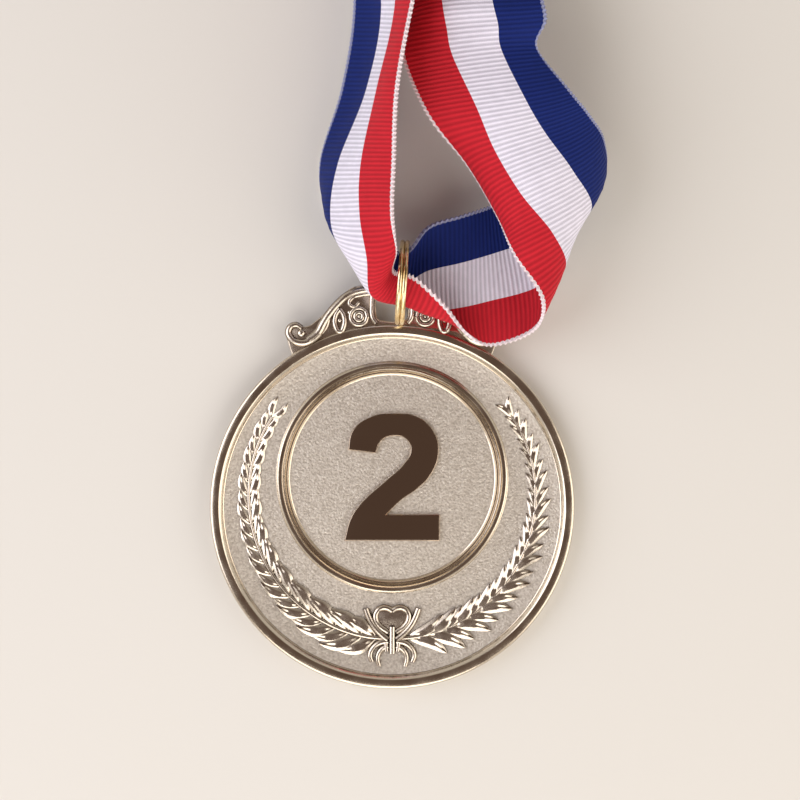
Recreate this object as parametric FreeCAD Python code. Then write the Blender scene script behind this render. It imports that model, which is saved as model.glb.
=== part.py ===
"""Award medal for a second place, lying on its back with its neck ribbon folded away.

Frame: millimetres, +Z up.  The origin is the centre of the disc's flat back.
The disc's face looks up (+Z), the hanger is at +Y and +X is to the right of the face.
"""
import FreeCAD, Part
import math
import os

from FreeCAD import Placement, Rotation, Vector

# ---- Driving dimensions: the casting -------------------------------------------------
DISC_R = 32.5            # outside of the rim
RIM_INNER_R = 30.2       # foot of the rim, on the field
FIELD_Z = 2.5            # sandblasted field, above the back
RIM_Z = 3.4              # top of the polished rim
EDGE_CHAMFER = 0.5       # broken edge round the back
RIM_SLOPE = 0.5          # the rim's walls lean by this much

BEZEL_Y = 5.2            # the inner ring sits above the disc's centre
BEZEL_R_IN, BEZEL_R_OUT = 18.4, 20.6
BEZEL_Z = 3.1
BEZEL_GROOVE_Z = 2.75

NUMERAL_Z = 3.3          # polished top of the numeral
RELIEF_Z = 3.2           # tops of the wreath and the knot
RELIEF_ROOT = 0.3        # relief starts this far under the field, so that it is one casting

# ---- The laurel wreath ---------------------------------------------------------------
STEM_Y, STEM_R = 2.0, 25.6
WREATH_PAIRS = 14
WREATH_START, WREATH_END = 12.0, 122.0       # degrees round from the bottom, each side
LEAF_LONG, LEAF_SHORT = 7.0, 3.6
LEAF_WIDTH = 0.27                            # of its length
LEAF_SPLAY = 24.0                            # degrees off the stem

# ---- The hanger ----------------------------------------------------------------------
HANGER_Z0, HANGER_Z1 = 1.4, 3.2
BAR_Y, BAR_HALF = 39.6, 1.1                  # the bar that the ring goes round
HOLE_HALF_W, HOLE_BOTTOM, HOLE_CORNER = 2.8, 33.1, 1.3

# ---- The split ring ------------------------------------------------------------------
RING_X = 1.8
RING_R = 7.5             # outside radius
WIRE_R = 0.45
WIRE_SPACING = 0.86      # between its two turns
RING_LEAN = -4.0         # degrees: its far side leans to the right
RING_LIFT = 0.05         # clear of the table

# ---- The ribbon ----------------------------------------------------------------------
RIBBON_W = 25.0
RIBBON_T = 0.5
STEPS = 4                # facets between two ribs of the route
ACROSS = 6               # facets across the ribbon

# The packed stretch: both plies run side by side in flat leaves
PACK_X = 8.0             # middle of the ribbon's width
PACK_Y0, PACK_Y1 = 141.0, 193.0
PACK_LEAD = 5.0          # both plies lie flat this far before the first leaf
LEAVES = 5
LEAF_PITCH = 2.3
PLY_Z = 0.4              # middle of the lowest ply
PLY_GAP = 0.9            # between the middles of the two plies of a leaf
LAP_Y0, LAP_Y1 = 150.0, 170.0


def v(x, y, z=0.0):
    return Vector(x, y, z)


# ======================================================================================
# The casting
# ======================================================================================
def turned(points, centre):
    """A solid of revolution about a vertical axis: points are (radius, z)."""
    wire = Part.makePolygon([v(r, 0, z) for r, z in points + points[:1]])
    solid = Part.Face(wire).revolve(v(0, 0, 0), v(0, 0, 1), 360)
    solid.translate(centre)
    return solid


def raised(wire, z0, z1):
    face = Part.Face(wire)
    face.translate(v(0, 0, z0))
    return face.extrude(v(0, 0, z1 - z0))


def curve(points):
    spline = Part.BSplineCurve()
    spline.interpolate([v(*p) for p in points])
    return spline.toShape()


def line(a, b):
    return Part.makeLine(v(*a), v(*b))


def disc():
    return turned([(0, 0), (DISC_R - EDGE_CHAMFER, 0), (DISC_R, EDGE_CHAMFER),
                   (DISC_R, RIM_Z - EDGE_CHAMFER), (DISC_R - EDGE_CHAMFER, RIM_Z),
                   (RIM_INNER_R + RIM_SLOPE, RIM_Z), (RIM_INNER_R, FIELD_Z), (0, FIELD_Z)],
                  v(0, 0))


def bezel():
    mid = (BEZEL_R_IN + BEZEL_R_OUT) / 2
    lip = 0.3
    land = 0.8
    return turned([(BEZEL_R_IN, FIELD_Z - RELIEF_ROOT), (BEZEL_R_OUT, FIELD_Z - RELIEF_ROOT),
                   (BEZEL_R_OUT, FIELD_Z), (BEZEL_R_OUT - lip, BEZEL_Z),
                   (BEZEL_R_OUT - land, BEZEL_Z), (mid, BEZEL_GROOVE_Z),
                   (BEZEL_R_IN + land, BEZEL_Z), (BEZEL_R_IN + lip, BEZEL_Z),
                   (BEZEL_R_IN, FIELD_Z)], v(0, BEZEL_Y))


def numeral():
    """A plain bold 2, centred in the inner ring."""
    bowl = [(-7.9, 4.9), (-7.1, 8.3), (-3.8, 10.8), (0.4, 11.4), (4.9, 10.6), (7.7, 7.6),
            (8.3, 4.2), (6.9, 0.5), (4.6, -1.9), (1.5, -4.1), (-1.0, -6.6)]
    foot = [(-1.0, -6.6), (8.5, -6.6), (8.5, -11.3), (-8.6, -11.3)]
    inside = [(-8.6, -11.3), (-7.4, -7.2), (-5.5, -4.5), (-1.0, -0.4), (2.1, 2.5), (3.3, 4.9),
              (2.5, 6.8), (0.1, 7.4), (-1.9, 6.6), (-2.9, 4.3)]
    edges = [curve(bowl)]
    edges += [line(a, b) for a, b in zip(foot, foot[1:])]
    edges += [curve(inside), line(inside[-1], bowl[0])]
    wire = Part.Wire(edges)
    wire.translate(v(0, BEZEL_Y))
    return raised(wire, FIELD_Z - RELIEF_ROOT, NUMERAL_Z)


def leaf(root, direction, length):
    """A pointed leaf from its root, between two arcs."""
    along = v(math.cos(direction), math.sin(direction)) * length
    side = v(-along.y, along.x) * (LEAF_WIDTH / 2)
    tip = root + along
    belly = root + along * 0.45
    wire = Part.Wire([Part.Arc(root, belly + side, tip).toShape(),
                      Part.Arc(tip, belly - side, root).toShape()])
    return raised(wire, FIELD_Z - RELIEF_ROOT, RELIEF_Z)


def wreath():
    """Pairs of leaves that climb both sides from the knot, and get smaller."""
    leaves = []
    for side in (-1, 1):
        for i in range(WREATH_PAIRS):
            f = i / (WREATH_PAIRS - 1)
            turn = math.radians(WREATH_START + f * (WREATH_END - WREATH_START))
            root = v(side * STEM_R * math.sin(turn), STEM_Y - STEM_R * math.cos(turn))
            heading = turn if side > 0 else math.pi - turn
            length = LEAF_LONG + f * (LEAF_SHORT - LEAF_LONG)
            for splay in (-LEAF_SPLAY, LEAF_SPLAY):
                leaves.append(leaf(root, heading + math.radians(splay), length))
    return leaves


def knot():
    """The bow that ties the two branches: a loop, a double bar and two tails."""
    y = STEM_Y - STEM_R
    loop = Part.Wire([Part.Circle(v(0, y + 2.4), v(0, 0, 1), 3.0).toShape()])
    bar = Part.makePolygon([v(-1.4, y - 3.2), v(1.4, y - 3.2), v(1.4, y + 2.6), v(-1.4, y + 2.6),
                            v(-1.4, y - 3.2)])
    tails = []
    for side in (-1, 1):
        edges = [Part.Arc(v(0, y - 0.4), v(side * 3.4, y - 2.2), v(side * 4.0, y - 5.2)).toShape(),
                 line((side * 4.0, y - 5.2), (side * 2.6, y - 5.6)),
                 Part.Arc(v(side * 2.6, y - 5.6), v(side * 2.0, y - 3.4), v(0, y - 2.2)).toShape(),
                 line((0, y - 2.2), (0, y - 0.4))]
        tails.append(Part.Wire(edges))
    return [raised(w, FIELD_Z - RELIEF_ROOT, RELIEF_Z) for w in [loop, bar] + tails]


def hanger():
    """The scrolled lug on the rim, with the hole that the ring hangs in."""
    outline = [(-19.6, 28.2), (-19.4, 31.6), (-17.4, 32.8), (-15.4, 32.2), (-13.2, 33.6),
               (-10.2, 36.6), (-7.0, 39.0), (-3.6, 39.9), (0.0, BAR_Y + BAR_HALF)]
    right = [(-x, y) for x, y in outline]
    foot = (19.6, 26.0)
    edges = [curve(outline), curve(right[::-1]), line(right[0], foot),
             line(foot, (-foot[0], foot[1])), line((-foot[0], foot[1]), outline[0])]
    plate = raised(Part.Wire(edges), HANGER_Z0, HANGER_Z1)
    inside_rim = Part.makeCylinder(DISC_R - 1.0, RIM_Z, v(0, 0, 0), v(0, 0, 1))
    plate = plate.cut(inside_rim)
    ribs = []
    for side in (-1, 1):
        curl = Part.makeTorus(1.7, 0.5, v(side * 17.4, 30.6, HANGER_Z1 - 0.1), v(0, 0, 1))
        eye = Part.makeTorus(1.9, 0.5, v(side * 6.4, 36.0, HANGER_Z1 - 0.1), v(0, 0, 1))
        ribs += [curl, eye]
        for x0, y0, x1, y1 in ((14.2, 29.9, 11.0, 35.0), (11.6, 31.0, 10.0, 35.4),
                               (9.4, 31.8, 9.2, 35.6)):
            rib = Part.makeCylinder(0.45, math.hypot(x1 - x0, y1 - y0),
                                    v(side * x0, y0, HANGER_Z1 - 0.05),
                                    v(side * (x1 - x0), y1 - y0, 0))
            ribs.append(rib)
    hole_h = BAR_Y - BAR_HALF - HOLE_BOTTOM
    hole = Part.makeBox(2 * HOLE_HALF_W, hole_h, RIM_Z + 2, v(-HOLE_HALF_W, HOLE_BOTTOM, -1))
    hole = hole.makeFillet(HOLE_CORNER, [e for e in hole.Edges if abs(e.tangentAt(0).z) > 0.9])
    return plate, ribs, hole


def medal_casting():
    plate, ribs, hole = hanger()
    body = disc().multiFuse([bezel(), numeral(), plate] + wreath() + knot() + ribs)
    return body.cut(hole)


# ======================================================================================
# The split ring
# ======================================================================================
def split_ring():
    """Two turns of wire, side by side; the ring stands on edge in the hanger's hole."""
    half = WIRE_SPACING / 2
    dip = math.sqrt(WIRE_R ** 2 - half ** 2)
    r = RING_R - WIRE_R
    section = Part.Wire([
        Part.Arc(v(0, r + dip), v(half + WIRE_R, r), v(0, r - dip)).toShape(),
        Part.Arc(v(0, r - dip), v(-half - WIRE_R, r), v(0, r + dip)).toShape()])
    ring = Part.Face(section).revolve(v(0, 0, 0), v(1, 0, 0), 360)
    ring.Placement = Placement(v(RING_X, BAR_Y, RING_R + RING_LIFT), Rotation(v(0, 0, 1), RING_LEAN))
    return ring


# ======================================================================================
# The ribbon.  A rib of the weave is four points across the ribbon: blue selvedge, the
# line between blue and white, the line between white and red, and red selvedge.
# ======================================================================================
Z_LOW, Z_UP = PLY_Z, PLY_Z + PLY_GAP
X_LEFT, X_RIGHT = PACK_X - RIBBON_W / 2, PACK_X + RIBBON_W / 2


def flat_rib(y, z, blue_left):
    third = RIBBON_W / 3
    xs = [X_LEFT, X_LEFT + third, X_RIGHT - third, X_RIGHT]
    if not blue_left:
        xs = xs[::-1]
    return [(x, y, z) for x in xs]


LEFT_STRAND = [
    flat_rib(PACK_Y0, Z_UP, True),
    flat_rib(PACK_Y0 - PACK_LEAD, Z_UP, True),
    [(-4.8, 129.5, 1.7), (3.5, 129.5, 2.3), (11.8, 129.5, 3.0), (20.1, 129.5, 3.6)],
    [(-5.4, 121.0, 3.0), (2.4, 120.8, 6.0), (10.0, 120.6, 9.2), (17.8, 120.6, 11.6)],
    [(-7.5, 108.0, 1.5), (-3.6, 106.5, 8.7), (1.5, 105.5, 15.0), (8.0, 104.5, 20.0)],
    [(-6.8, 89.8, 0.7), (-1.7, 88.2, 7.3), (0.7, 86.3, 15.2), (3.4, 84.5, 22.8)],
    [(-9.0, 74.9, 0.7), (-4.3, 73.6, 7.5), (-2.4, 72.1, 15.5), (1.0, 70.7, 22.8)],
    [(-12.8, 61.8, 0.7), (-9.2, 60.7, 8.2), (-5.1, 59.7, 15.3), (0.5, 58.9, 20.8)],
    [(-11.5, 53.3, 0.9), (-10.6, 51.6, 9.0), (-5.4, 51.0, 15.2), (0.2, 50.5, 20.4)],
]
RING_FOLD = LEFT_STRAND[-1:] + [
    [(-6.0, 49.0, 3.2), (-9.0, 45.8, 9.6), (-4.2, 43.4, 15.0), (0.8, 44.8, 17.2)],
    [(-2.0, 46.0, 6.4), (-4.4, 41.0, 5.4), (-3.4, 37.2, 10.8), (0.2, 41.4, 12.9)],
    [(2.6, 45.0, 8.8), (1.8, 39.8, 4.6), (1.8, 35.6, 9.0), (4.0, 40.2, 12.3)],
    [(6.4, 49.4, 8.2), (6.5, 42.0, 4.9), (7.0, 34.6, 6.2), (9.0, 35.6, 11.6)],
]
BAND = RING_FOLD[-1:] + [
    [(12.0, 51.4, 7.0), (12.1, 43.3, 5.2), (12.1, 35.3, 5.4), (13.0, 30.6, 8.8)],
    [(16.4, 52.9, 6.0), (16.8, 44.6, 5.4), (17.2, 36.5, 5.4), (17.6, 28.5, 6.2)],
]
CURL = BAND[-1:] + [
    [(21.3, 54.8, 5.4), (23.4, 46.7, 5.4), (25.0, 38.6, 6.2), (24.8, 31.2, 9.6)],
    [(29.1, 56.7, 5.4), (30.7, 48.8, 7.0), (29.8, 41.9, 11.5), (25.6, 36.2, 15.4)],
    [(36.6, 58.6, 8.4), (34.3, 52.4, 12.8), (27.5, 47.1, 16.6), (20.9, 43.6, 15.9)],
    [(36.3, 63.6, 14.1), (30.6, 58.0, 17.6), (22.0, 53.8, 18.2), (18.4, 50.6, 11.8)],
]
RIGHT_STRAND = CURL[-1:] + [
    [(33.4, 67.4, 18.0), (26.0, 63.9, 19.2), (17.5, 61.2, 18.6), (13.2, 59.4, 12.2)],
    [(30.0, 71.2, 19.2), (22.6, 69.4, 20.0), (14.4, 68.3, 19.0), (6.2, 67.4, 16.0)],
    [(24.6, 78.4, 18.6), (18.6, 78.0, 18.8), (10.4, 77.2, 17.8), (2.3, 76.2, 15.2)],
    [(25.9, 82.6, 21.2), (18.0, 82.4, 19.2), (9.4, 82.0, 17.6), (2.0, 81.4, 13.4)],
    [(25.1, 88.0, 19.6), (16.8, 88.0, 18.4), (8.5, 87.8, 17.0), (2.6, 87.6, 11.0)],
    [(23.3, 105.0, 9.4), (15.0, 105.0, 10.0), (6.8, 104.6, 9.6), (-1.3, 104.4, 8.2)],
    [(21.0, 122.5, 2.6), (12.7, 122.5, 3.2), (4.4, 122.5, 2.9), (-3.8, 122.5, 2.0)],
    [(20.6, 129.5, 0.9), (12.3, 129.5, 1.0), (4.0, 129.5, 0.9), (-4.3, 129.5, 0.7)],
    flat_rib(PACK_Y0 - PACK_LEAD, Z_LOW, False),
    flat_rib(PACK_Y0, Z_LOW, False),
]


def blend(points, t):
    """Point at t of 0..1 on the middle span of a Catmull-Rom curve through four points."""
    a, b, c, d = [v(*p) for p in points]
    return (b * 2 + (c - a) * t + (a * 2 - b * 5 + c * 4 - d) * t * t
            + (b * 3 - a - c * 3 + d) * t ** 3) * 0.5


def across(rib):
    """Points spread evenly over the ribbon's width, on a cubic through the rib's four."""
    points = []
    for i in range(ACROSS + 1):
        u = 3.0 * i / ACROSS
        weights = (-(u - 1) * (u - 2) * (u - 3) / 6, u * (u - 2) * (u - 3) / 2,
                   -u * (u - 1) * (u - 3) / 2, u * (u - 1) * (u - 2) / 6)
        total = v(0, 0)
        for point, weight in zip(rib, weights):
            total += v(*point) * weight
        points.append(total)
    return points


WHOLE_ROUTE = (LEFT_STRAND + RING_FOLD[1:] + BAND[1:] + CURL[1:] + RIGHT_STRAND[1:])


def ribs_between(first, last):
    """Every rib of the weave's route from one given rib to another, interpolated."""
    start, end = WHOLE_ROUTE.index(first), WHOLE_ROUTE.index(last)
    ribs = []
    for i in range(start, end):
        near = [WHOLE_ROUTE[min(max(k, 0), len(WHOLE_ROUTE) - 1)] for k in range(i - 1, i + 3)]
        for step in range(STEPS):
            four = [blend([rib[j] for rib in near], step / STEPS) for j in range(4)]
            ribs.append(across([tuple(p) for p in four]))
    ribs.append(across(last))
    return ribs


def normals(rows):
    """Unit normal of the surface at each point of a grid of points."""
    result = []
    for i, row in enumerate(rows):
        before, after = rows[max(i - 1, 0)], rows[min(i + 1, len(rows) - 1)]
        line_of = []
        for j in range(len(row)):
            along = after[j] - before[j]
            wide = row[min(j + 1, len(row) - 1)] - row[max(j - 1, 0)]
            line_of.append(along.cross(wide).normalize())
        result.append(line_of)
    return result


def slab(first, last):
    """A faceted solid of the ribbon's thickness along the route."""
    whole = ribs_between(WHOLE_ROUTE[0], WHOLE_ROUTE[-1])
    facing = normals(whole)
    i0 = WHOLE_ROUTE.index(first) * STEPS
    i1 = WHOLE_ROUTE.index(last) * STEPS
    rows, ups = whole[i0:i1 + 1], facing[i0:i1 + 1]
    half = RIBBON_T / 2
    top = [[p + n * half for p, n in zip(r, u)] for r, u in zip(rows, ups)]
    low = [[p - n * half for p, n in zip(r, u)] for r, u in zip(rows, ups)]
    faces = []

    def patch(a, b, c, d):
        faces.append(Part.Face(Part.makePolygon([a, b, c, a])))
        faces.append(Part.Face(Part.makePolygon([a, c, d, a])))

    for i in range(len(rows) - 1):
        for j in range(ACROSS):
            patch(top[i][j], top[i + 1][j], top[i + 1][j + 1], top[i][j + 1])
            patch(low[i][j], low[i][j + 1], low[i + 1][j + 1], low[i + 1][j])
        for j in (0, ACROSS):
            patch(top[i][j], low[i][j], low[i + 1][j], top[i + 1][j])
    for i in (0, len(rows) - 1):
        for j in range(ACROSS):
            patch(top[i][j], top[i][j + 1], low[i][j + 1], low[i][j])
    solid = Part.Solid(Part.Shell(faces))
    if solid.Volume < 0:
        solid.reverse()
    return solid


def folded_pack():
    """The put-away stretch: ten plies in five leaves, one solid of their outer shape."""
    height = (LEAVES - 1) * LEAF_PITCH + PLY_GAP + RIBBON_T
    box = Part.makeBox(RIBBON_W, PACK_Y1 - PACK_Y0, height,
                       v(X_LEFT, PACK_Y0, PLY_Z - RIBBON_T / 2))
    far_top = [e for e in box.Edges if abs(e.tangentAt(0).x) > 0.9
               and e.CenterOfMass.y > PACK_Y0 + 1]
    return box.makeFillet(height * 0.3, far_top)


PACK_TOP = PLY_Z + (LEAVES - 1) * LEAF_PITCH + PLY_GAP + RIBBON_T / 2


def seam_lap():
    """The end of the ribbon that overlaps the other end at the back of the neck."""
    return Part.makeBox(RIBBON_W, LAP_Y1 - LAP_Y0, RIBBON_T, v(X_LEFT, LAP_Y0, PACK_TOP))


def seam_stitches():
    """Two rows of machine stitches across the overlap."""
    stitch, pitch, thick, inset = 2.0, 2.6, 0.3, 2.0
    count = int((RIBBON_W - 2 * inset) / pitch)
    stitches = []
    for y in (LAP_Y0 + inset, LAP_Y1 - inset):
        for i in range(count):
            x = PACK_X + (i - (count - 1) / 2) * pitch - stitch / 2
            stitches.append(Part.makeBox(stitch, thick, thick,
                                         v(x, y - thick / 2, PACK_TOP + RIBBON_T)))
    return Part.makeCompound(stitches)


# ======================================================================================
PACK = folded_pack()
PARTS = {
    "medal_casting": medal_casting(),
    "split_ring": split_ring(),
    "ribbon_left_strand": slab(LEFT_STRAND[0], LEFT_STRAND[-1]).cut(PACK),
    "ribbon_ring_fold": slab(RING_FOLD[0], RING_FOLD[-1]),
    "ribbon_band": slab(BAND[0], BAND[-1]),
    "ribbon_curl": slab(CURL[0], CURL[-1]),
    "ribbon_right_strand": slab(RIGHT_STRAND[0], RIGHT_STRAND[-1]).cut(PACK),
    "ribbon_folded_pack": PACK,
    "ribbon_seam_lap": seam_lap(),
    "seam_stitching": seam_stitches(),
}

os.makedirs("parts", exist_ok=True)
for name, shape in PARTS.items():
    shape.exportStep("parts/" + name + ".step")
    box = shape.BoundBox
    print("%-22s solids %2d valid %s volume %8.1f  z %.2f..%.2f" % (
        name, len(shape.Solids), shape.isValid(), shape.Volume, box.ZMin, box.ZMax))
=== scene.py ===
import math

import bpy
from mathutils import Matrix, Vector


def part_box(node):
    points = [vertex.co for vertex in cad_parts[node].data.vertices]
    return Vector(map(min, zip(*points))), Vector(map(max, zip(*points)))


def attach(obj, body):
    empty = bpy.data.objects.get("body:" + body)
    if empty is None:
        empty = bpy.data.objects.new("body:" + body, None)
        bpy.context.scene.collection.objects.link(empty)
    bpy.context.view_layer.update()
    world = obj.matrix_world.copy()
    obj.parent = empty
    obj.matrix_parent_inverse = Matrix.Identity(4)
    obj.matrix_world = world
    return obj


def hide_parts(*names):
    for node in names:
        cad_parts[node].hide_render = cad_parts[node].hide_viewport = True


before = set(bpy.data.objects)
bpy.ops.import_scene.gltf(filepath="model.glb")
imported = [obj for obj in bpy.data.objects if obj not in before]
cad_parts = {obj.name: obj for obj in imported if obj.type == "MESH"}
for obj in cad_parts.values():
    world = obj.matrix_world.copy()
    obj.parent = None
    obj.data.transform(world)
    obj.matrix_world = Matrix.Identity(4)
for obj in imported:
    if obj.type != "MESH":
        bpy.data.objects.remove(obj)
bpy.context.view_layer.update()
MM = 0.001


# ---- Camera, light and table ---------------------------------------------------------
# The medal lies face up on a pale table under a camera that looks straight down.  Soft
# panels stand round the table and nothing is lit overhead, so level polished metal goes
# dark while its sloping edges catch the panels.
def linear(code):
    """sRGB hex colour to linear light."""
    parts = [int(code[i:i + 2], 16) / 255 for i in (1, 3, 5)]
    return [c / 12.92 if c <= 0.04045 else ((c + 0.055) / 1.055) ** 2.4 for c in parts] + [1.0]


def node(tree, kind, settings=None, links=None, **inputs):
    """Adds a node with its settings, its input values and its links."""
    made = tree.nodes.new(kind)
    for name, value in (settings or {}).items():
        setattr(made, name, value)
    for name, value in inputs.items():
        made.inputs[name.replace("_", " ")].default_value = value
    for socket, source in (links or {}).items():
        tree.links.new(source, made.inputs[socket])
    return made


def ramp(made, stops):
    """Colour stops (position, colour) of a colour ramp node."""
    band = made.color_ramp
    while len(band.elements) < len(stops):
        band.elements.new(0.5)
    for element, (position, colour) in zip(band.elements, stops):
        element.position = position
        element.color = colour if not isinstance(colour, str) else linear(colour)


camera_data = bpy.data.cameras.new("camera")
camera_data.sensor_width = 36.0
camera_data.angle = math.radians(27.0)
camera = bpy.data.objects.new("camera", camera_data)
camera.location = (1.4 * MM, 19.0 * MM, 300 * MM)
bpy.context.collection.objects.link(camera)
bpy.context.scene.camera = camera
bpy.context.scene.view_settings.view_transform = "Standard"

world = bpy.data.worlds.new("room")
bpy.context.scene.world = world
world.use_nodes = True
tree = world.node_tree
tree.nodes.clear()
place = node(tree, "ShaderNodeTexCoord")
height = node(tree, "ShaderNodeSeparateXYZ", links={"Vector": place.outputs["Generated"]})
sky = node(tree, "ShaderNodeValToRGB", links={"Fac": height.outputs["Z"]})
ramp(sky, [(0.0, "#E4E1DC"), (0.5, "#CFC9C1"), (0.72, "#84776C"), (0.92, "#65534A")])
shine = node(tree, "ShaderNodeBackground", links={"Color": sky.outputs["Color"]}, Strength=0.92)
node(tree, "ShaderNodeOutputWorld", links={"Surface": shine.outputs["Background"]})

for name, spot, width, power, tint in (
        ("right_panel", (0.50, -0.12, 0.36), 0.70, 2.3, "#FFF8F0"),
        ("left_panel", (-0.50, 0.08, 0.38), 0.70, 3.0, "#F8F7FF"),
        ("front_panel", (-0.08, -0.54, 0.38), 0.70, 3.0, "#FFFAF4")):
    data = bpy.data.lights.new(name, "AREA")
    data.shape = "DISK"
    data.size, data.energy, data.color = width, power, linear(tint)[:3]
    lamp = bpy.data.objects.new(name, data)
    lamp.location = spot
    lamp.rotation_euler = (Vector((0, 0.04, 0)) - Vector(spot)).to_track_quat("-Z", "Y").to_euler()
    bpy.context.collection.objects.link(lamp)


def fresh():
    """Object mode and nothing selected, as every operator here expects."""
    if bpy.context.object and bpy.context.object.mode != "OBJECT":
        bpy.ops.object.mode_set(mode="OBJECT")
    bpy.ops.object.select_all(action="DESELECT")


def named(name):
    """The object that an operator has just made, under its own name."""
    made = bpy.context.object
    made.name = made.data.name = name
    return made


def material(name):
    """A new material and its empty node tree."""
    made = bpy.data.materials.new(name)
    made.use_nodes = True
    made.node_tree.nodes.clear()
    return made, made.node_tree


fresh()
bpy.ops.mesh.primitive_plane_add(size=6.0, location=(0, 0, -0.0002))
table = named("table_top")
# Matt paper: an even pale sheet with no shine, faintly rough to the light.
paper, tree = material("matt_paper")
place = node(tree, "ShaderNodeTexCoord")
grain = node(tree, "ShaderNodeTexNoise", links={"Vector": place.outputs["Object"]},
             Scale=900.0, Detail=3.0)
lift = node(tree, "ShaderNodeBump", links={"Height": grain.outputs["Fac"]},
            Strength=0.08, Distance=0.0002)
sheet = node(tree, "ShaderNodeBsdfPrincipled", links={"Normal": lift.outputs["Normal"]},
             Base_Color=linear("#D8D5CF"), Roughness=0.75)
node(tree, "ShaderNodeOutputMaterial", links={"Surface": sheet.outputs["BSDF"]})
table.data.materials.append(paper)


# ---- The ribbon ----------------------------------------------------------------------
# One 25 mm strip of polyester grosgrain, woven blue, white and red, with a picot edge.
# It loops through the ring and lies loose; the rest is folded away in flat leaves, and
# its two heat-cut ends lap over each other on the top leaf.
RIBBON_W, RIBBON_T = 25.0, 0.5
EDGE_X, STRIPE_X = 12.5, 4.17   # selvedge and stripe line, from the ribbon's middle
RIB = 0.8                # between two ribs of the weave
WARP = 0.28              # between two warp threads
PICOT = 0.16             # how far a loop of the edge stands out or in
ROWS_PER_RIB = 3
COLUMNS = 12
STEPS = 12               # between two ribs of the route
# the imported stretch: two plies side by side in flat leaves
MIDDLE_X = 8.0
NEAR_Y, FAR_Y = 141.0, 193.0
LEAVES, LEAF_PITCH, PLY_Z, PLY_GAP = 5, 2.3, 0.4, 0.9
LAP_Y = 170.0            # where the lower end is cut
LAP_RISE = 0.52          # from one lapped end to the other


def level(y, z, blue_left):
    """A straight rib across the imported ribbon."""
    xs = [MIDDLE_X + x for x in (-EDGE_X, -STRIPE_X, STRIPE_X, EDGE_X)]
    return [(x, y, z) for x in (xs if blue_left else xs[::-1])]


# each rib: blue selvedge, blue and white line, white and red line, red selvedge
LOOSE = [
    level(141.0, 1.3, True),
    level(136.0, 1.3, True),
    [(-4.8, 129.5, 1.7), (3.5, 129.5, 2.3), (11.8, 129.5, 3.0), (20.1, 129.5, 3.6)],
    [(-5.4, 121.0, 3.0), (2.4, 120.8, 6.0), (10.0, 120.6, 9.2), (17.8, 120.6, 11.6)],
    [(-7.5, 108.0, 1.5), (-3.6, 106.5, 8.7), (1.5, 105.5, 15.0), (8.0, 104.5, 20.0)],
    [(-6.8, 89.8, 0.7), (-1.7, 88.2, 7.3), (0.7, 86.3, 15.2), (3.4, 84.5, 22.8)],
    [(-9.0, 74.9, 0.7), (-4.3, 73.6, 7.5), (-2.4, 72.1, 15.5), (1.0, 70.7, 22.8)],
    [(-12.8, 61.8, 0.7), (-9.2, 60.7, 8.2), (-5.1, 59.7, 15.3), (0.5, 58.9, 20.8)],
    [(-11.5, 53.3, 0.9), (-10.6, 51.6, 9.0), (-5.4, 51.0, 15.2), (0.2, 50.5, 20.4)],
    [(-6.0, 49.0, 3.2), (-9.0, 45.8, 9.6), (-4.2, 43.4, 15.0), (0.8, 44.8, 17.2)],
    [(-2.0, 46.0, 6.4), (-4.4, 41.0, 5.4), (-3.4, 37.2, 10.8), (0.2, 41.4, 12.9)],
    [(2.6, 45.0, 8.8), (1.8, 39.8, 4.6), (1.8, 35.6, 9.0), (4.0, 40.2, 12.3)],
    [(6.4, 49.4, 8.2), (6.5, 42.0, 4.9), (7.0, 34.6, 6.2), (9.0, 35.6, 11.6)],
    [(12.0, 51.4, 7.0), (12.1, 43.3, 5.2), (12.1, 35.3, 5.4), (13.0, 30.6, 8.8)],
    [(16.4, 52.9, 6.0), (16.8, 44.6, 5.4), (17.2, 36.5, 5.4), (17.6, 28.5, 6.2)],
    [(21.3, 54.8, 5.4), (23.4, 46.7, 5.4), (25.0, 38.6, 6.2), (24.8, 31.2, 9.6)],
    [(29.1, 56.7, 5.4), (30.7, 48.8, 7.0), (29.8, 41.9, 11.5), (25.6, 36.2, 15.4)],
    [(36.6, 58.6, 8.4), (34.3, 52.4, 12.8), (27.5, 47.1, 16.6), (20.9, 43.6, 15.9)],
    [(36.3, 63.6, 14.1), (30.6, 58.0, 17.6), (22.0, 53.8, 18.2), (18.4, 50.6, 11.8)],
    [(33.4, 67.4, 18.0), (26.0, 63.9, 19.2), (17.5, 61.2, 18.6), (13.2, 59.4, 12.2)],
    [(30.0, 71.2, 19.2), (22.6, 69.4, 20.0), (14.4, 68.3, 19.0), (6.2, 67.4, 16.0)],
    [(24.6, 78.4, 18.6), (18.6, 78.0, 18.8), (10.4, 77.2, 17.8), (2.3, 76.2, 15.2)],
    [(25.9, 82.6, 21.2), (18.0, 82.4, 19.2), (9.4, 82.0, 17.6), (2.0, 81.4, 13.4)],
    [(25.1, 88.0, 19.6), (16.8, 88.0, 18.4), (8.5, 87.8, 17.0), (2.6, 87.6, 11.0)],
    [(23.3, 105.0, 9.4), (15.0, 105.0, 10.0), (6.8, 104.6, 9.6), (-1.3, 104.4, 8.2)],
    [(21.0, 122.5, 2.6), (12.7, 122.5, 3.2), (4.4, 122.5, 2.9), (-3.8, 122.5, 2.0)],
    [(20.6, 129.5, 0.9), (12.3, 129.5, 1.0), (4.0, 129.5, 0.9), (-4.3, 129.5, 0.7)],
    level(136.0, 0.4, False),
    level(141.0, 0.4, False),
]


def smooth(a, b, c, d, t):
    """Point at t of 0..1 from b to c, on a curve through all four."""
    a, b, c, d = Vector(a), Vector(b), Vector(c), Vector(d)
    return (b * 2 + (c - a) * t + (a * 2 - b * 5 + c * 4 - d) * t * t
            + (b * 3 - a - c * 3 + d) * t ** 3) * 0.5


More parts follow.
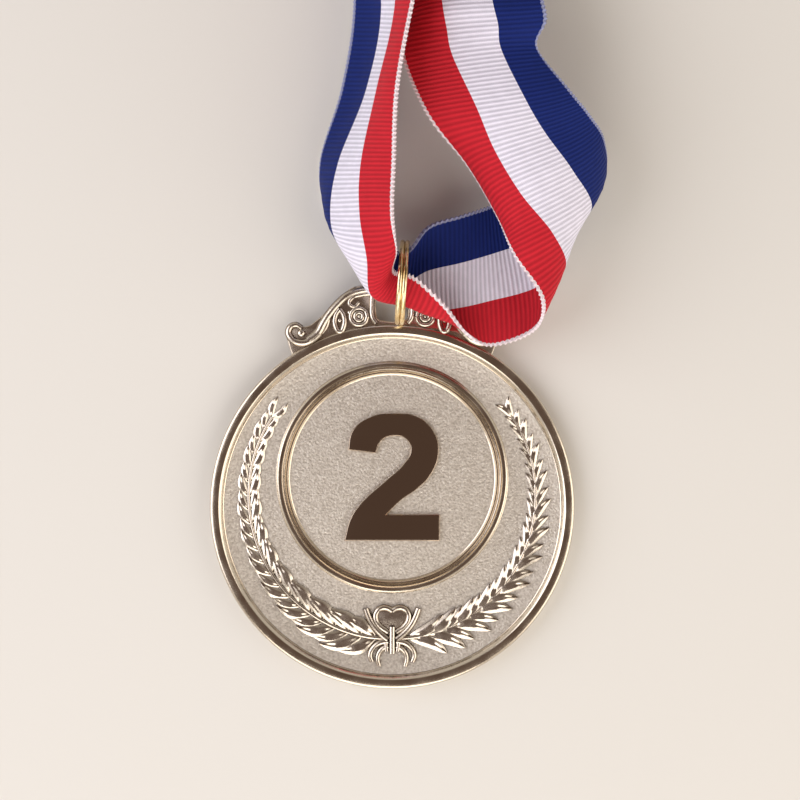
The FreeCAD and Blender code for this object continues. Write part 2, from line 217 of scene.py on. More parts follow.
def leaf_runs(side):
    """Middle line (y, z) of one ply from its entry to the top leaf; side 1 is the upper."""
    line = []
    widest_turn = (LEAF_PITCH + PLY_GAP) / 2 + RIBBON_T / 2
    for k in range(LEAVES):
        way = 1 if k % 2 == 0 else -1
        middle = PLY_Z + PLY_GAP / 2 + k * LEAF_PITCH
        offset = side * way * PLY_GAP / 2
        near, far = NEAR_Y + widest_turn, FAR_Y - widest_turn
        start = near if way > 0 else far
        stop = far if way > 0 else near
        if k == 0:
            start = NEAR_Y + 3.0
        line += [(start + (stop - start) * i / 8, middle + offset) for i in range(9)]
        if k < LEAVES - 1:
            centre = middle + LEAF_PITCH / 2
            radius = LEAF_PITCH / 2 - offset
            for i in range(1, 8):
                angle = math.pi * i / 8
                line.append((stop + way * radius * math.sin(angle),
                             centre - radius * math.cos(angle)))
    return line


def packed(line, blue_left):
    """Ribs along a middle line; the leaves are never laid quite over each other."""
    ribs = []
    for i, (y, z) in enumerate(line):
        stray = 0.35 * math.sin(0.9 * z + 0.5) + 0.15 * math.sin(y * 0.21)
        ribs.append([(x + stray, ry, rz) for x, ry, rz in level(y, z, blue_left)])
    return ribs


top_z = PLY_Z + (LEAVES - 1) * LEAF_PITCH + PLY_GAP
first_ply = leaf_runs(1)
last_ply = leaf_runs(-1)
cut_end = [p for p in first_ply if not (abs(p[1] - top_z) < 1e-6 and p[0] > LAP_Y)]
cut_end.append((LAP_Y, top_z))
middle_z = top_z - PLY_GAP / 2
loop = [(FAR_Y - 1.0, top_z - PLY_GAP - 0.12), (FAR_Y - 0.25, middle_z - 0.45),
        (FAR_Y + 0.1, middle_z), (FAR_Y - 0.25, middle_z + 0.5), (FAR_Y - 1.0, top_z + 0.1),
        (FAR_Y - 4.0, top_z)]
lap = [(186.0, top_z), (181.0, top_z), (176.0, top_z + 0.04), (172.5, top_z + 0.32)]
lap += [(y, top_z + LAP_RISE) for y in (169.0, 164.0, 158.0, 150.0)]
cut_end = sorted([p for p in cut_end if abs(p[1] - top_z) < 1e-6], key=lambda p: -p[0]) + \
    [p for p in cut_end if abs(p[1] - top_z) >= 1e-6][::-1]
route = packed(cut_end, True) + LOOSE + packed(last_ply + loop + lap, False)

fine = []
for i in range(len(route) - 1):
    around = [route[min(max(k, 0), len(route) - 1)] for k in range(i - 1, i + 3)]
    for step in range(STEPS):
        fine.append([smooth(*[rib[j] for rib in around], step / STEPS) for j in range(4)])
fine.append([Vector(p) for p in route[-1]])
length = [0.0]
for one, two in zip(fine, fine[1:]):
    length.append(length[-1] + (((one[1] + one[2]) - (two[1] + two[2])) / 2).length)
ribbon_length = length[-1]
row_count = int(ribbon_length / RIB) * ROWS_PER_RIB + 1

points, weave = [], []
k = 0
for row in range(row_count):
    along = ribbon_length * row / (row_count - 1)
    while k < len(fine) - 2 and length[k + 1] < along:
        k += 1
    t = (along - length[k]) / max(length[k + 1] - length[k], 1e-9)
    rib = [a.lerp(b, t) for a, b in zip(fine[k], fine[k + 1])]
    picot = PICOT * math.cos(2 * math.pi * row / ROWS_PER_RIB)
    for column in range(COLUMNS + 1):
        u = 3.0 * column / COLUMNS
        if column == 0:
            u -= picot / RIBBON_W * 3
        if column == COLUMNS:
            u += picot / RIBBON_W * 3
        # a cubic curve through the rib's four points
        weights = (-(u - 1) * (u - 2) * (u - 3) / 6, u * (u - 2) * (u - 3) / 2,
                   -u * (u - 1) * (u - 3) / 2, u * (u - 1) * (u - 2) / 6)
        spot = Vector((0, 0, 0))
        for p, w in zip(rib, weights):
            spot += p * w
        points.append(spot * MM)
        weave.append((column / COLUMNS, along / RIBBON_W))
wide = COLUMNS + 1
faces = [(r * wide + c, r * wide + c + 1, (r + 1) * wide + c + 1, (r + 1) * wide + c)
         for r in range(row_count - 1) for c in range(COLUMNS)]
cloth = bpy.data.meshes.new("neck_ribbon")
cloth.from_pydata(points, [], faces)
threads = cloth.uv_layers.new(name="weave")
for corner in cloth.loops:
    threads.data[corner.index].uv = weave[corner.vertex_index]
ribbon = bpy.data.objects.new("neck_ribbon", cloth)
bpy.context.collection.objects.link(ribbon)
fresh()
bpy.context.view_layer.objects.active = ribbon
ribbon.select_set(True)
thick = ribbon.modifiers.new("thick", "SOLIDIFY")
thick.thickness, thick.offset = RIBBON_T * MM, 0.0
bpy.ops.object.modifier_apply(modifier="thick")
bpy.ops.object.shade_smooth_by_angle(angle=math.radians(50))

# Polyester grosgrain: hardly any sheen on rounded ribs of weft, colours a little uneven.
grosgrain, tree = material("polyester_grosgrain")
place = node(tree, "ShaderNodeUVMap", {"uv_map": "weave"})
split = node(tree, "ShaderNodeSeparateXYZ", links={"Vector": place.outputs["UV"]})
stripes = node(tree, "ShaderNodeValToRGB", links={"Fac": split.outputs["X"]})
stripes.color_ramp.interpolation = "CONSTANT"
ramp(stripes, [(0.0, "#8F93B4"), (0.018, "#122468"), (0.333, "#E2DEEC"), (0.667, "#C4222F"),
               (0.978, "#EBDDE2")])
turns = node(tree, "ShaderNodeMath", {"operation": "MULTIPLY"},
             {0: split.outputs["Y"]})
turns.inputs[1].default_value = 2 * math.pi * RIBBON_W / RIB
ribs = node(tree, "ShaderNodeMath", {"operation": "COSINE"}, {0: turns.outputs["Value"]})
rib_height = node(tree, "ShaderNodeMapRange", links={"Value": ribs.outputs["Value"]},
                  From_Min=-1.0, From_Max=1.0)
# warp threads cross the ribs
warp_turns = node(tree, "ShaderNodeMath", {"operation": "MULTIPLY"},
                  {0: split.outputs["X"]})
warp_turns.inputs[1].default_value = 2 * math.pi * RIBBON_W / WARP
warp = node(tree, "ShaderNodeMath", {"operation": "SINE"}, {0: warp_turns.outputs["Value"]})
relief = node(tree, "ShaderNodeMath", {"operation": "MULTIPLY_ADD"},
              {0: warp.outputs["Value"], 2: rib_height.outputs["Result"]})
relief.inputs[1].default_value = 0.07
# painted shade: the stripes' colour is darkened down between the ribs and warp threads and a
# little lightened on their tops
shade = node(tree, "ShaderNodeMapRange", links={"Value": relief.outputs["Value"]},
             From_Min=0.0, From_Max=1.0, To_Min=0.72, To_Max=1.04)
spread = node(tree, "ShaderNodeTexNoise", links={"Vector": place.outputs["UV"]},
              Scale=14.0, Detail=5.0)
uneven = node(tree, "ShaderNodeMapRange", links={"Value": spread.outputs["Fac"]},
              To_Min=0.90, To_Max=1.10)
both = node(tree, "ShaderNodeMath", {"operation": "MULTIPLY"},
            {0: shade.outputs["Result"], 1: uneven.outputs["Result"]})
tint = node(tree, "ShaderNodeMix", {"data_type": "RGBA", "blend_type": "MULTIPLY"})
tint.inputs[0].default_value = 1.0
tree.links.new(stripes.outputs["Color"], tint.inputs[6])
tree.links.new(both.outputs["Value"], tint.inputs[7])
raised = node(tree, "ShaderNodeBump", links={"Height": relief.outputs["Value"]},
              Strength=0.6, Distance=0.00016)
yarn = node(tree, "ShaderNodeBsdfPrincipled",
            links={"Base Color": tint.outputs[2], "Normal": raised.outputs["Normal"]},
            Roughness=0.75, Specular_IOR_Level=0.15, Sheen_Weight=0.03, Sheen_Roughness=0.4)
node(tree, "ShaderNodeOutputMaterial", links={"Surface": yarn.outputs["BSDF"]})
ribbon.data.materials.append(grosgrain)
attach(ribbon, "ribbon")
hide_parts("ribbon_left_strand", "ribbon_ring_fold", "ribbon_band", "ribbon_curl",
            "ribbon_right_strand", "ribbon_folded_pack", "ribbon_seam_lap")


# ---- The seam's stitches -------------------------------------------------------------
# Two rows of white polyester machine stitches hold the lap at the back of the neck.
# Each stitch is a short length of twisted thread that dips into the cloth at its ends.
fresh()
bpy.ops.mesh.primitive_cylinder_add(vertices=10, radius=0.15 * MM, depth=2.0 * MM)
stitch = named("stitch")
bpy.ops.object.mode_set(mode="EDIT")
for cut in (0.5, -0.5):
    bpy.ops.mesh.select_all(action="SELECT")
    bpy.ops.mesh.bisect(plane_co=(0, 0, cut * MM), plane_no=(0, 0, 1))
bpy.ops.object.mode_set(mode="OBJECT")
for corner in stitch.data.vertices:
    if abs(corner.co.z) > 0.8 * MM:
        corner.co = (corner.co.x * 0.5, corner.co.y * 0.5 - 0.1 * MM, corner.co.z)
bpy.ops.object.shade_smooth()
lap_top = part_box("seam_stitching")[0].z
stitches = []
for y in (152.0, 168.0):
    for i in range(8):
        copy = bpy.data.objects.new("stitch", stitch.data.copy())
        bpy.context.collection.objects.link(copy)
        copy.rotation_euler = (math.radians(90), 0, math.radians(90 + 4 * math.sin(i * 2.3 + y)))
        copy.location = ((MIDDLE_X + (i - 3.5) * 2.6) * MM, y * MM, lap_top + 0.05 * MM)
        stitches.append(copy)
bpy.data.objects.remove(stitch)
fresh()
for copy in stitches:
    copy.select_set(True)
bpy.context.view_layer.objects.active = stitches[0]
bpy.ops.object.transform_apply(location=True, rotation=True, scale=True)
bpy.ops.object.join()
seam = named("lap_stitches")
bpy.ops.object.transform_apply(location=True, rotation=True, scale=True)
# Polyester sewing thread: white, with a soft lustre broken up by its twist.
thread, tree = material("polyester_thread")
place = node(tree, "ShaderNodeTexCoord")
twist = node(tree, "ShaderNodeTexWave", {"bands_direction": "DIAGONAL"},
             {"Vector": place.outputs["Object"]}, Scale=900.0, Distortion=0.5)
wound = node(tree, "ShaderNodeBump", links={"Height": twist.outputs["Fac"]},
             Strength=0.6, Distance=0.00006)
floss = node(tree, "ShaderNodeBsdfPrincipled", links={"Normal": wound.outputs["Normal"]},
             Base_Color=linear("#EDE8EE"), Roughness=0.55, Sheen_Weight=0.2)
node(tree, "ShaderNodeOutputMaterial", links={"Surface": floss.outputs["BSDF"]})
seam.data.materials.append(thread)
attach(seam, "ribbon")
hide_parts("seam_stitching")


# ---- The medal's disc ----------------------------------------------------------------
# Zinc alloy, die-cast and nickel plated: a polished rim, a sandblasted field, and a
# polished double bead round the middle.  The back is plain.
CENTRE_Y = 5.2           # middle of the double bead
FIELD_Z = 2.5            # the sandblasted field


def turn_up(name, start, steps):
    """A round casting from its back face, which each step lifts, shifts and resizes.
    The start and the steps are (radius, height, middle's place along Y)."""
    fresh()
    bpy.ops.mesh.primitive_circle_add(vertices=256, radius=start[0] * MM, fill_type="NGON",
                                      location=(0, start[2] * MM, start[1] * MM))
    made = named(name)
    bpy.ops.object.transform_apply(location=True, rotation=False, scale=False)
    bpy.ops.object.mode_set(mode="EDIT")
    bpy.ops.mesh.select_all(action="SELECT")
    r, z, y = start
    for r2, z2, y2 in steps:
        bpy.ops.mesh.extrude_region_move(
            TRANSFORM_OT_translate={"value": (0, (y2 - y) * MM, (z2 - z) * MM)})
        bpy.ops.transform.resize(value=(r2 / r, r2 / r, 1),
                                 center_override=(0, y2 * MM, z2 * MM))
        r, z, y = r2, z2, y2
    bpy.ops.mesh.select_all(action="SELECT")
    bpy.ops.mesh.normals_make_consistent(inside=False)
    bpy.ops.object.mode_set(mode="OBJECT")
    bpy.ops.object.shade_smooth_by_angle(angle=math.radians(28))
    return made


# edge, level band and inner slope of the rim; then the two beads
disc = turn_up("medal_disc", (32.0, 0.0, 0), [
    (32.35, 0.12, 0), (32.5, 0.45, 0), (32.5, 2.9, 0), (32.45, 3.08, 0), (32.34, 3.22, 0),
    (32.2, 3.31, 0), (32.02, 3.35, 0), (31.5, 3.38, 0), (30.98, 3.36, 0), (30.86, 3.32, 0),
    (30.74, 3.23, 0), (30.34, 2.83, 0), (30.2, 2.64, 0), (30.1, 2.54, 0),
    (29.98, FIELD_Z, 0), (20.75, FIELD_Z, CENTRE_Y),
    (20.6, 2.62, CENTRE_Y), (20.48, 2.95, CENTRE_Y), (20.28, 3.1, CENTRE_Y),
    (20.0, 3.14, CENTRE_Y), (19.72, 3.08, CENTRE_Y), (19.5, 2.86, CENTRE_Y),
    (19.38, 2.6, CENTRE_Y), (19.2, 2.55, CENTRE_Y), (19.08, 2.66, CENTRE_Y),
    (19.0, 2.92, CENTRE_Y), (18.86, 3.06, CENTRE_Y), (18.68, 3.06, CENTRE_Y),
    (18.52, 2.9, CENTRE_Y), (18.42, 2.6, CENTRE_Y), (18.25, FIELD_Z, CENTRE_Y),
    (9.0, FIELD_Z, CENTRE_Y), (0.5, FIELD_Z, CENTRE_Y)])

# Bright nickel: smooth plating over cast metal, faintly wavy, its shine a little uneven.
nickel, tree = material("polished_nickel")
place = node(tree, "ShaderNodeTexCoord")
waves = node(tree, "ShaderNodeTexNoise", links={"Vector": place.outputs["Object"]},
             Scale=260.0, Detail=3.0)
cast_skin = node(tree, "ShaderNodeBump", links={"Height": waves.outputs["Fac"]},
                 Strength=0.35, Distance=0.00012)
dull = node(tree, "ShaderNodeMapRange", links={"Value": waves.outputs["Fac"]},
            From_Min=0.3, From_Max=0.7, To_Min=0.16, To_Max=0.26)
plate = node(tree, "ShaderNodeBsdfPrincipled",
             links={"Normal": cast_skin.outputs["Normal"], "Roughness": dull.outputs["Result"]},
             Base_Color=linear("#D6C9B6"), Metallic=1.0)
node(tree, "ShaderNodeOutputMaterial", links={"Surface": plate.outputs["BSDF"]})

# Sandblasted nickel: grit of about 0.2 mm leaves pits that break up the light.  They are
# drawn about 0.4 mm wide, twice their real size, or they would not show.
blasted, tree = material("sandblasted_nickel")
place = node(tree, "ShaderNodeTexCoord")
pits = node(tree, "ShaderNodeTexNoise", links={"Vector": place.outputs["Object"]},
            Scale=2600.0, Detail=3.0, Roughness=0.6)
coarse = node(tree, "ShaderNodeTexVoronoi", links={"Vector": place.outputs["Object"]},
              Scale=2200.0)
mixed = node(tree, "ShaderNodeMath", {"operation": "MULTIPLY_ADD"},
             {0: coarse.outputs["Distance"], 2: pits.outputs["Fac"]})
mixed.inputs[1].default_value = 0.5
pitted = node(tree, "ShaderNodeBump", links={"Height": mixed.outputs["Value"]},
              Strength=0.5, Distance=0.00016)
speck = node(tree, "ShaderNodeValToRGB", links={"Fac": pits.outputs["Fac"]})
ramp(speck, [(0.30, "#BDB4A7"), (0.5, "#D8CFC3"), (0.70, "#EAE4D9")])
frost = node(tree, "ShaderNodeBsdfPrincipled",
             links={"Base Color": speck.outputs["Color"], "Normal": pitted.outputs["Normal"]},
             Metallic=1.0, Roughness=0.48)
node(tree, "ShaderNodeOutputMaterial", links={"Surface": frost.outputs["BSDF"]})

disc.data.materials.append(nickel)
disc.data.materials.append(blasted)
for face in disc.data.polygons:
    spot = face.center / MM
    flat = abs(face.normal.z) > 0.98 and abs(spot.z - FIELD_Z) < 0.06
    face.material_index = 1 if flat else 0
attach(disc, "medal")
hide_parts("medal_casting")


# ---- The numeral ---------------------------------------------------------------------
# A plain bold 2 stands up from the field, part of the casting; its top is polished flat
# and its edge is bevelled.
def flat_shape(name, splines, low, high, bevel):
    """A flat outline raised from low to high, with a bevelled edge, made into a mesh.
    Each of an outline's points is (x, y, corner), and corner 0 is part of a smooth curve."""
    data = bpy.data.curves.new(name, "CURVE")
    data.dimensions, data.fill_mode = "2D", "BOTH"
    for outline in splines:
        spline = data.splines.new("BEZIER")
        spline.bezier_points.add(len(outline) - 1)
        spline.use_cyclic_u = True
        spline.resolution_u = 14
        for knob, (x, y, corner) in zip(spline.bezier_points, outline):
            knob.co = (x * MM, y * MM, 0)
            knob.handle_left_type = knob.handle_right_type = "VECTOR" if corner else "AUTO"
    data.extrude = (high - low) / 2 * MM - bevel * MM
    data.bevel_depth, data.bevel_resolution = bevel * MM, 2
    data.offset = -bevel * MM
    made = bpy.data.objects.new(name, data)
    bpy.context.collection.objects.link(made)
    fresh()
    made.select_set(True)
    bpy.context.view_layer.objects.active = made
    bpy.ops.object.convert(target="MESH")
    made = named(name)
    made.location.z = (high + low) / 2 * MM
    bpy.ops.object.transform_apply(location=True, rotation=False, scale=False)
    bpy.ops.object.mode_set(mode="EDIT")
    bpy.ops.mesh.select_all(action="SELECT")
    bpy.ops.mesh.remove_doubles(threshold=0.000002)
    bpy.ops.mesh.normals_make_consistent(inside=False)
    bpy.ops.object.mode_set(mode="OBJECT")
    bpy.ops.object.shade_smooth_by_angle(angle=math.radians(18))
    return made


two = [(-7.9, 4.9, 1), (-7.1, 8.3, 0), (-3.8, 10.8, 0), (0.4, 11.4, 0), (4.9, 10.6, 0),
       (7.7, 7.6, 0), (8.3, 4.2, 0), (6.9, 0.5, 0), (4.6, -1.9, 0), (1.5, -4.1, 0),
       (-1.0, -6.6, 1), (8.5, -6.6, 1), (8.5, -11.3, 1), (-8.6, -11.3, 1), (-7.4, -7.2, 0),
       (-5.5, -4.5, 0), (-1.0, -0.4, 0), (2.1, 2.5, 0), (3.3, 4.9, 0), (2.5, 6.8, 0),
       (0.1, 7.4, 0), (-1.9, 6.6, 0), (-2.9, 4.3, 1)]
numeral = flat_shape("numeral", [[(x, y + CENTRE_Y, c) for x, y, c in two]], 2.3, 3.3, 0.22)
# Mirror-polished nickel: smoother than the rim, faintly wavy from the buffing wheel.
mirror, tree = material("mirror_nickel")
place = node(tree, "ShaderNodeTexCoord")
swirl = node(tree, "ShaderNodeTexNoise", links={"Vector": place.outputs["Object"]},
             Scale=90.0, Detail=2.0)
buffed = node(tree, "ShaderNodeBump", links={"Height": swirl.outputs["Fac"]},
              Strength=0.15, Distance=0.0001)
shiny = node(tree, "ShaderNodeBsdfPrincipled", links={"Normal": buffed.outputs["Normal"]},
             Base_Color=linear("#C2B2A0"), Metallic=1.0, Roughness=0.1)
node(tree, "ShaderNodeOutputMaterial", links={"Surface": shiny.outputs["BSDF"]})
numeral.data.materials.append(mirror)
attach(numeral, "medal")


# ---- The laurel wreath ---------------------------------------------------------------
# Two branches of laurel in polished relief, part of the casting.  Each leaf is a long
# pointed blade with a shallow groove down its middle; the pairs climb from the knot and get
# smaller.
STEM_Y, STEM_R = 2.0, 25.6
LEAF_PAIRS = 22
fresh()
bpy.ops.mesh.primitive_grid_add(x_subdivisions=10, y_subdivisions=6, size=1.0)
blade = named("laurel_leaf")
for corner in blade.data.vertices:
    s = corner.co.x + 0.5
    across = corner.co.y * 2
    half_width = 0.155 * max(math.sin(math.pi * s ** 0.9), 0.0) ** 0.7 + 0.004
    crown = (1 - across * across) * 0.065 * math.sin(math.pi * min(s * 1.05, 1)) + 0.035
    crown -= 0.025 * max(0.0, 1 - abs(across) * 4)
    corner.co = (s, across * half_width + 0.10 * math.sin(math.pi * s) - 0.05 * s * s,
                 crown + 0.03 * s)
bpy.ops.object.mode_set(mode="EDIT")
bpy.ops.mesh.select_all(action="SELECT")
bpy.ops.mesh.region_to_loop()
bpy.ops.mesh.extrude_edges_move(TRANSFORM_OT_translate={"value": (0, 0, -0.14)})
bpy.ops.object.mode_set(mode="OBJECT")
leaves = []
for side in (-1, 1):
    for i in range(LEAF_PAIRS):
        f = i / (LEAF_PAIRS - 1)
        turn = math.radians(6.5 + f * 116.0)
        heading = turn if side > 0 else math.pi - turn
        for splay in (-25.0 + 7.0 * f, 25.0 - 7.0 * f):
            size = (8.3 + f * (4.0 - 8.3)) * (1.0 if i % 2 else 0.9)
            size *= 1.0 - 0.16 * math.sin(math.pi * f) * (splay > 0)
            copy = bpy.data.objects.new("leaf", blade.data.copy())
            bpy.context.collection.objects.link(copy)
            flip = -1 if splay * side > 0 else 1
            copy.scale = (size * MM, size * MM * flip, size * MM * 0.95)
            copy.rotation_euler.z = heading + math.radians(splay)
            copy.location = (side * STEM_R * math.sin(turn) * MM,
                             (STEM_Y - STEM_R * math.cos(turn)) * MM, 2.42 * MM)
            leaves.append(copy)
bpy.data.objects.remove(blade)
fresh()
for copy in leaves:
    copy.select_set(True)
bpy.context.view_layer.objects.active = leaves[0]
bpy.ops.object.transform_apply(location=True, rotation=True, scale=True)
bpy.ops.object.join()
wreath = named("laurel_leaves")
bpy.ops.object.mode_set(mode="EDIT")
bpy.ops.mesh.select_all(action="SELECT")
bpy.ops.mesh.normals_make_consistent(inside=False)
bpy.ops.object.mode_set(mode="OBJECT")
bpy.ops.object.shade_smooth_by_angle(angle=math.radians(40))
# Tumbled nickel: relief that the polishing wheel only brushes keeps a satin skin, with
# soft wide highlights; its colour carries a painted highlight on its tops and painted
# shade down its steep sides.
satin, tree = material("tumbled_nickel")
place = node(tree, "ShaderNodeTexCoord")
skin = node(tree, "ShaderNodeTexNoise", links={"Vector": place.outputs["Object"]},
            Scale=900.0, Detail=4.0)
pebbled = node(tree, "ShaderNodeBump", links={"Height": skin.outputs["Fac"]},
               Strength=0.3, Distance=0.00008)
slope = node(tree, "ShaderNodeSeparateXYZ", links={"Vector": place.outputs["Normal"]})
# painted shade and highlight: the colour goes dark where the relief's sides are steep and pale on
# its level tops
steep_side_shade = node(tree, "ShaderNodeMapRange", links={"Value": slope.outputs["Z"]},
              From_Min=0.35, From_Max=0.95)
painted_shade_and_highlight = node(tree, "ShaderNodeValToRGB", links={"Fac": steep_side_shade.outputs["Result"]})
ramp(painted_shade_and_highlight, [(0.0, "#54463B"), (0.45, "#A99A88"), (1.0, "#DDD2C3")])
rubbed = node(tree, "ShaderNodeMapRange", links={"Value": skin.outputs["Fac"]},
              From_Min=0.3, From_Max=0.7, To_Min=0.20, To_Max=0.30)
lustre = node(tree, "ShaderNodeBsdfPrincipled",
              links={"Base Color": painted_shade_and_highlight.outputs["Color"], "Normal": pebbled.outputs["Normal"],
                     "Roughness": rubbed.outputs["Result"]}, Metallic=1.0)
node(tree, "ShaderNodeOutputMaterial", links={"Surface": lustre.outputs["BSDF"]})
wreath.data.materials.append(satin)
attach(wreath, "medal")


def wire_relief(name, lines):
    """Rounded cords of relief: each line is (radius, taper, z, points)."""
    data = bpy.data.curves.new(name, "CURVE")
    data.dimensions = "3D"
    data.bevel_depth, data.bevel_resolution, data.use_fill_caps = MM, 3, True
    for radius, taper, z, points in lines:
        spline = data.splines.new("BEZIER")
        spline.bezier_points.add(len(points) - 1)
        spline.resolution_u = 10
        for n, (knob, (x, y)) in enumerate(zip(spline.bezier_points, points)):
            f = n / (len(points) - 1)
            knob.co = (x * MM, y * MM, z * MM)
            knob.radius = radius * (1 - taper * f)
            knob.handle_left_type = knob.handle_right_type = "AUTO"
    made = bpy.data.objects.new(name, data)
    bpy.context.collection.objects.link(made)
    fresh()
    made.select_set(True)
    bpy.context.view_layer.objects.active = made
    bpy.ops.object.convert(target="MESH")
    made = named(name)
    made.data.materials.clear()
    made.data.materials.append(satin)
    bpy.ops.object.shade_smooth()
    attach(made, "medal")
    return made


def both_sides(lines):
    """The lines and their mirror images."""
    return lines + [(r, t, z, [(-x, y) for x, y in pts]) for r, t, z, pts in lines]


branches = [(0.42, 0.45, 2.62, [(side * STEM_R * math.sin(math.radians(a)),
                                STEM_Y - STEM_R * math.cos(math.radians(a)))
                               for a in range(3, 126, 8)]) for side in (-1, 1)]
wire_relief("laurel_stems", branches)


# ---- The wreath's knot ---------------------------------------------------------------
# A bow in polished relief, part of the casting, ties the branches at the bottom: a
# heart-shaped loop over a double bar, with two tails curling down on each side.
wire_relief("bow_knot", both_sides([
    (0.55, 0.0, 2.75, [(0.0, -18.6), (0.9, -18.1), (1.9, -18.1), (2.8, -18.9), (2.95, -20.0),
                       (2.2, -21.3), (0.7, -22.4)]),
    (0.68, 0.15, 2.7, [(0.8, -23.7), (1.9, -22.8), (3.2, -21.4), (4.1, -19.8), (4.7, -18.2)]),
    (0.62, 0.3, 2.68, [(0.8, -24.0), (2.2, -24.3), (3.3, -25.1), (3.95, -26.5), (3.6, -27.7)]),
    (0.58, 0.35, 2.65, [(0.8, -24.9), (1.9, -25.5), (2.6, -26.9), (2.3, -28.5)]),
    (0.42, 0.0, 2.85, [(1.0, -23.2), (1.1, -24.5), (0.95, -25.8)])])
    + [(0.6, 0.0, 2.85, [(0.0, -21.4), (0.0, -23.6), (0.0, -26.2)])])
heart = [(0.0, -18.7, 1), (1.7, -18.2, 0), (2.8, -19.6, 0), (1.6, -21.6, 0), (0.0, -22.4, 1),
         (-1.6, -21.6, 0), (-2.8, -19.6, 0), (-1.7, -18.2, 0)]
fill = flat_shape("bow_heart", [heart], 2.3, 2.85, 0.15)
fill.data.materials.append(satin)
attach(fill, "medal")


# ---- The hanger ----------------------------------------------------------------------
# A scrolled lug, part of the casting, rises from the rim: a pierced plate with volutes,
# ribs and small round bosses in relief, and a straight bar over the hole for the ring.
left = [(-18.6, 29.3, 0), (-18.9, 31.6, 0), (-17.4, 32.7, 0), (-15.5, 32.1, 0), (-13.4, 33.3, 0),
        (-11.7, 34.9, 0), (-9.9, 36.6, 0), (-8.7, 37.9, 0), (-6.8, 39.2, 0), (-4.4, 39.5, 0),
        (-2.4, 40.1, 0)]
outline = left + [(0.0, 40.7, 0)] + [(-x, y, c) for x, y, c in left[::-1]]
outline += [(17.4, 25.8, 1), (12.0, 28.6, 0), (6.0, 30.4, 0), (0.0, 31.0, 0), (-6.0, 30.4, 0),
            (-12.0, 28.6, 0), (-17.4, 25.8, 1)]
hole = [(-2.8, 34.6, 0), (-2.5, 33.5, 0), (-1.4, 33.1, 0), (1.4, 33.1, 0), (2.5, 33.5, 0),
        (2.8, 34.6, 0), (2.8, 37.2, 0), (2.5, 38.3, 0), (1.4, 38.5, 0), (-1.4, 38.5, 0),
        (-2.5, 38.3, 0), (-2.8, 37.2, 0)]
lug = flat_shape("hanger_plate", [outline, hole], 1.4, 3.05, 0.28)
lug.data.materials.append(nickel)
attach(lug, "medal")


def hoop(x, y, r):
    """A closed circle of points."""
    return [(x + r * math.cos(math.tau * i / 8), y + r * math.sin(math.tau * i / 8))
            for i in range(9)]


wire_relief("hanger_scrolls", both_sides([
    (0.82, 0.4, 3.0, [(-13.0, 30.9), (-14.4, 29.7), (-16.4, 29.2), (-18.1, 30.1), (-18.4, 31.6),
                      (-17.2, 32.4), (-16.1, 31.8)]),
    (0.85, 0.25, 3.0, [(-15.0, 29.6), (-13.2, 31.0), (-12.2, 32.8), (-11.0, 34.6), (-9.6, 36.2),
                       (-8.0, 37.6), (-6.0, 38.4), (-3.6, 38.8), (-1.6, 39.4)]),
    (0.6, 0.6, 3.0, [(-11.3, 34.0), (-11.8, 32.0), (-13.0, 30.3)]),
    (0.5, 0.0, 3.0, [(-9.4, 35.2), (-10.1, 34.0), (-10.1, 32.2), (-9.3, 31.2), (-8.6, 32.2),
                     (-8.6, 34.0), (-9.3, 35.2)]),
    (0.45, 0.0, 3.0, hoop(-5.9, 33.9, 1.5)),
    (0.42, 0.0, 3.05, hoop(-5.9, 33.9, 0.72)),
    (0.52, 0.3, 3.0, [(-3.9, 38.0), (-5.4, 37.8), (-7.1, 37.2), (-7.6, 36.2), (-6.7, 35.7),
                      (-5.9, 36.4)]),
    (0.55, 0.2, 2.98, [(-3.5, 38.2), (-3.6, 35.8), (-3.5, 33.8), (-2.8, 32.7)])]))
bosses = []
for x, y, r in ((-16.2, 30.9, 0.75), (-9.35, 33.2, 0.4), (-5.9, 33.9, 0.35), (-7.6, 34.6, 0.4)):
    for side in (1, -1):
        fresh()
        bpy.ops.mesh.primitive_uv_sphere_add(segments=20, ring_count=12, radius=r * MM,
                                             location=(side * x * MM, y * MM, 3.05 * MM))
        bpy.ops.object.mode_set(mode="EDIT")
        bpy.ops.mesh.select_all(action="SELECT")
        bpy.ops.transform.resize(value=(1, 1, 0.75),
                                 center_override=(side * x * MM, y * MM, 3.05 * MM))
        bpy.ops.object.mode_set(mode="OBJECT")
        bpy.ops.object.shade_smooth()
        bosses.append(bpy.context.object)
fresh()
for one in bosses:
    one.select_set(True)
bpy.context.view_layer.objects.active = bosses[0]
bpy.ops.object.join()
pearls = named("hanger_bosses")
bpy.ops.object.transform_apply(location=True, rotation=True, scale=True)
pearls.data.materials.append(satin)
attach(pearls, "medal")


# ---- The split ring ------------------------------------------------------------------
# Two turns of brass-coloured spring wire, wound side by side, join the ribbon to the
# hanger.  The wire steps across from one turn to the other, and its ends are cut square.
RING_R, WIRE_R, SPACING = 7.5, 0.45, 0.86
RING_X, RING_Y, RING_LIFT, RING_LEAN = 1.8, 39.6, 0.05, -4.0
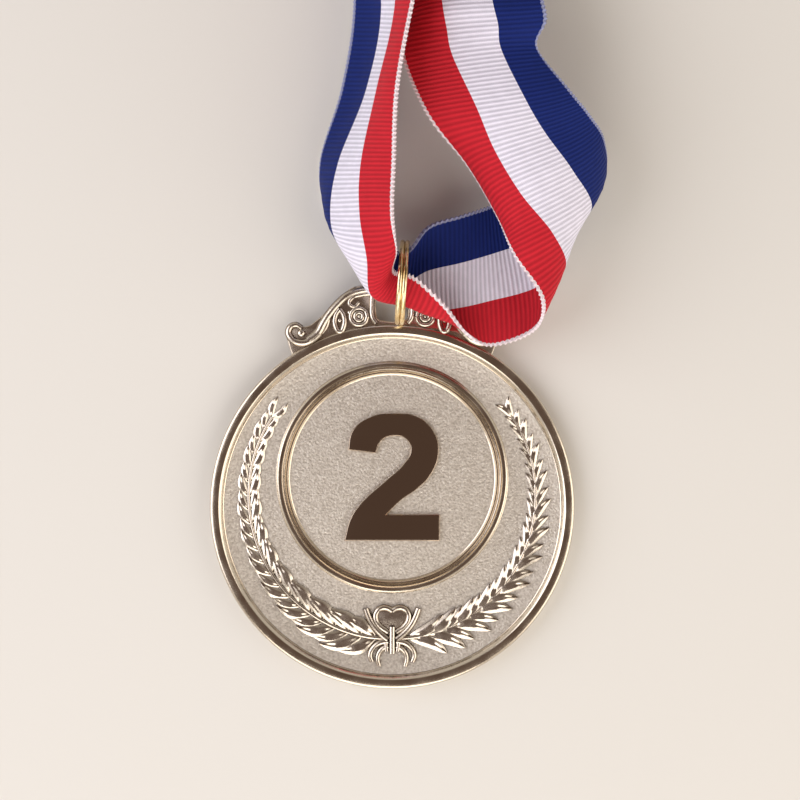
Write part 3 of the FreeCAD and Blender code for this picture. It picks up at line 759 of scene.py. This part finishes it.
# degrees round the ring: where the wire's ends meet, how far the first stands from there,
# how far the wire winds, and where and over how much it steps across
ENDS_AT, FIRST_END, WOUND, STEP_FROM, STEP_OVER = 200.0, 18.0, 684.0, 342.0, 36.0
data = bpy.data.curves.new("split_ring_coil", "CURVE")
data.dimensions = "3D"
data.bevel_depth, data.bevel_resolution, data.use_fill_caps = WIRE_R * MM, 5, True
spline = data.splines.new("POLY")
steps = 168
spline.points.add(steps)
for i, point in enumerate(spline.points):
    turned = FIRST_END + WOUND * i / steps
    swing = min(max((turned - STEP_FROM) / STEP_OVER, 0.0), 1.0)
    shift = (swing * swing * (3 - 2 * swing) - 0.5) * SPACING
    angle = math.radians(turned + ENDS_AT)
    point.co = (shift * MM, (RING_R - WIRE_R) * math.cos(angle) * MM,
                (RING_R - WIRE_R) * math.sin(angle) * MM, 1)
coil = bpy.data.objects.new("split_ring_coil", data)
bpy.context.collection.objects.link(coil)
fresh()
coil.select_set(True)
bpy.context.view_layer.objects.active = coil
bpy.ops.object.convert(target="MESH")
coil = named("split_ring_coil")
coil.rotation_euler.z = math.radians(RING_LEAN)
coil.location = (RING_X * MM, RING_Y * MM, (RING_R + RING_LIFT) * MM)
bpy.ops.object.transform_apply(location=True, rotation=True, scale=True)
bpy.ops.object.shade_smooth_by_angle(angle=math.radians(40))
# Brass-plated wire: bright, faintly rough, a little tarnished.
brass, tree = material("brass_plated_wire")
place = node(tree, "ShaderNodeTexCoord")
tarnish = node(tree, "ShaderNodeTexNoise", links={"Vector": place.outputs["Object"]},
               Scale=420.0, Detail=4.0)
gold = node(tree, "ShaderNodeValToRGB", links={"Fac": tarnish.outputs["Fac"]})
ramp(gold, [(0.35, "#B49663"), (0.6, "#EBD8AE")])
rough = node(tree, "ShaderNodeBump", links={"Height": tarnish.outputs["Fac"]},
             Strength=0.2, Distance=0.00005)
wire = node(tree, "ShaderNodeBsdfPrincipled",
            links={"Base Color": gold.outputs["Color"], "Normal": rough.outputs["Normal"]},
            Metallic=1.0, Roughness=0.22)
node(tree, "ShaderNodeOutputMaterial", links={"Surface": wire.outputs["BSDF"]})
coil.data.materials.append(brass)
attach(coil, "ring")
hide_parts("split_ring")
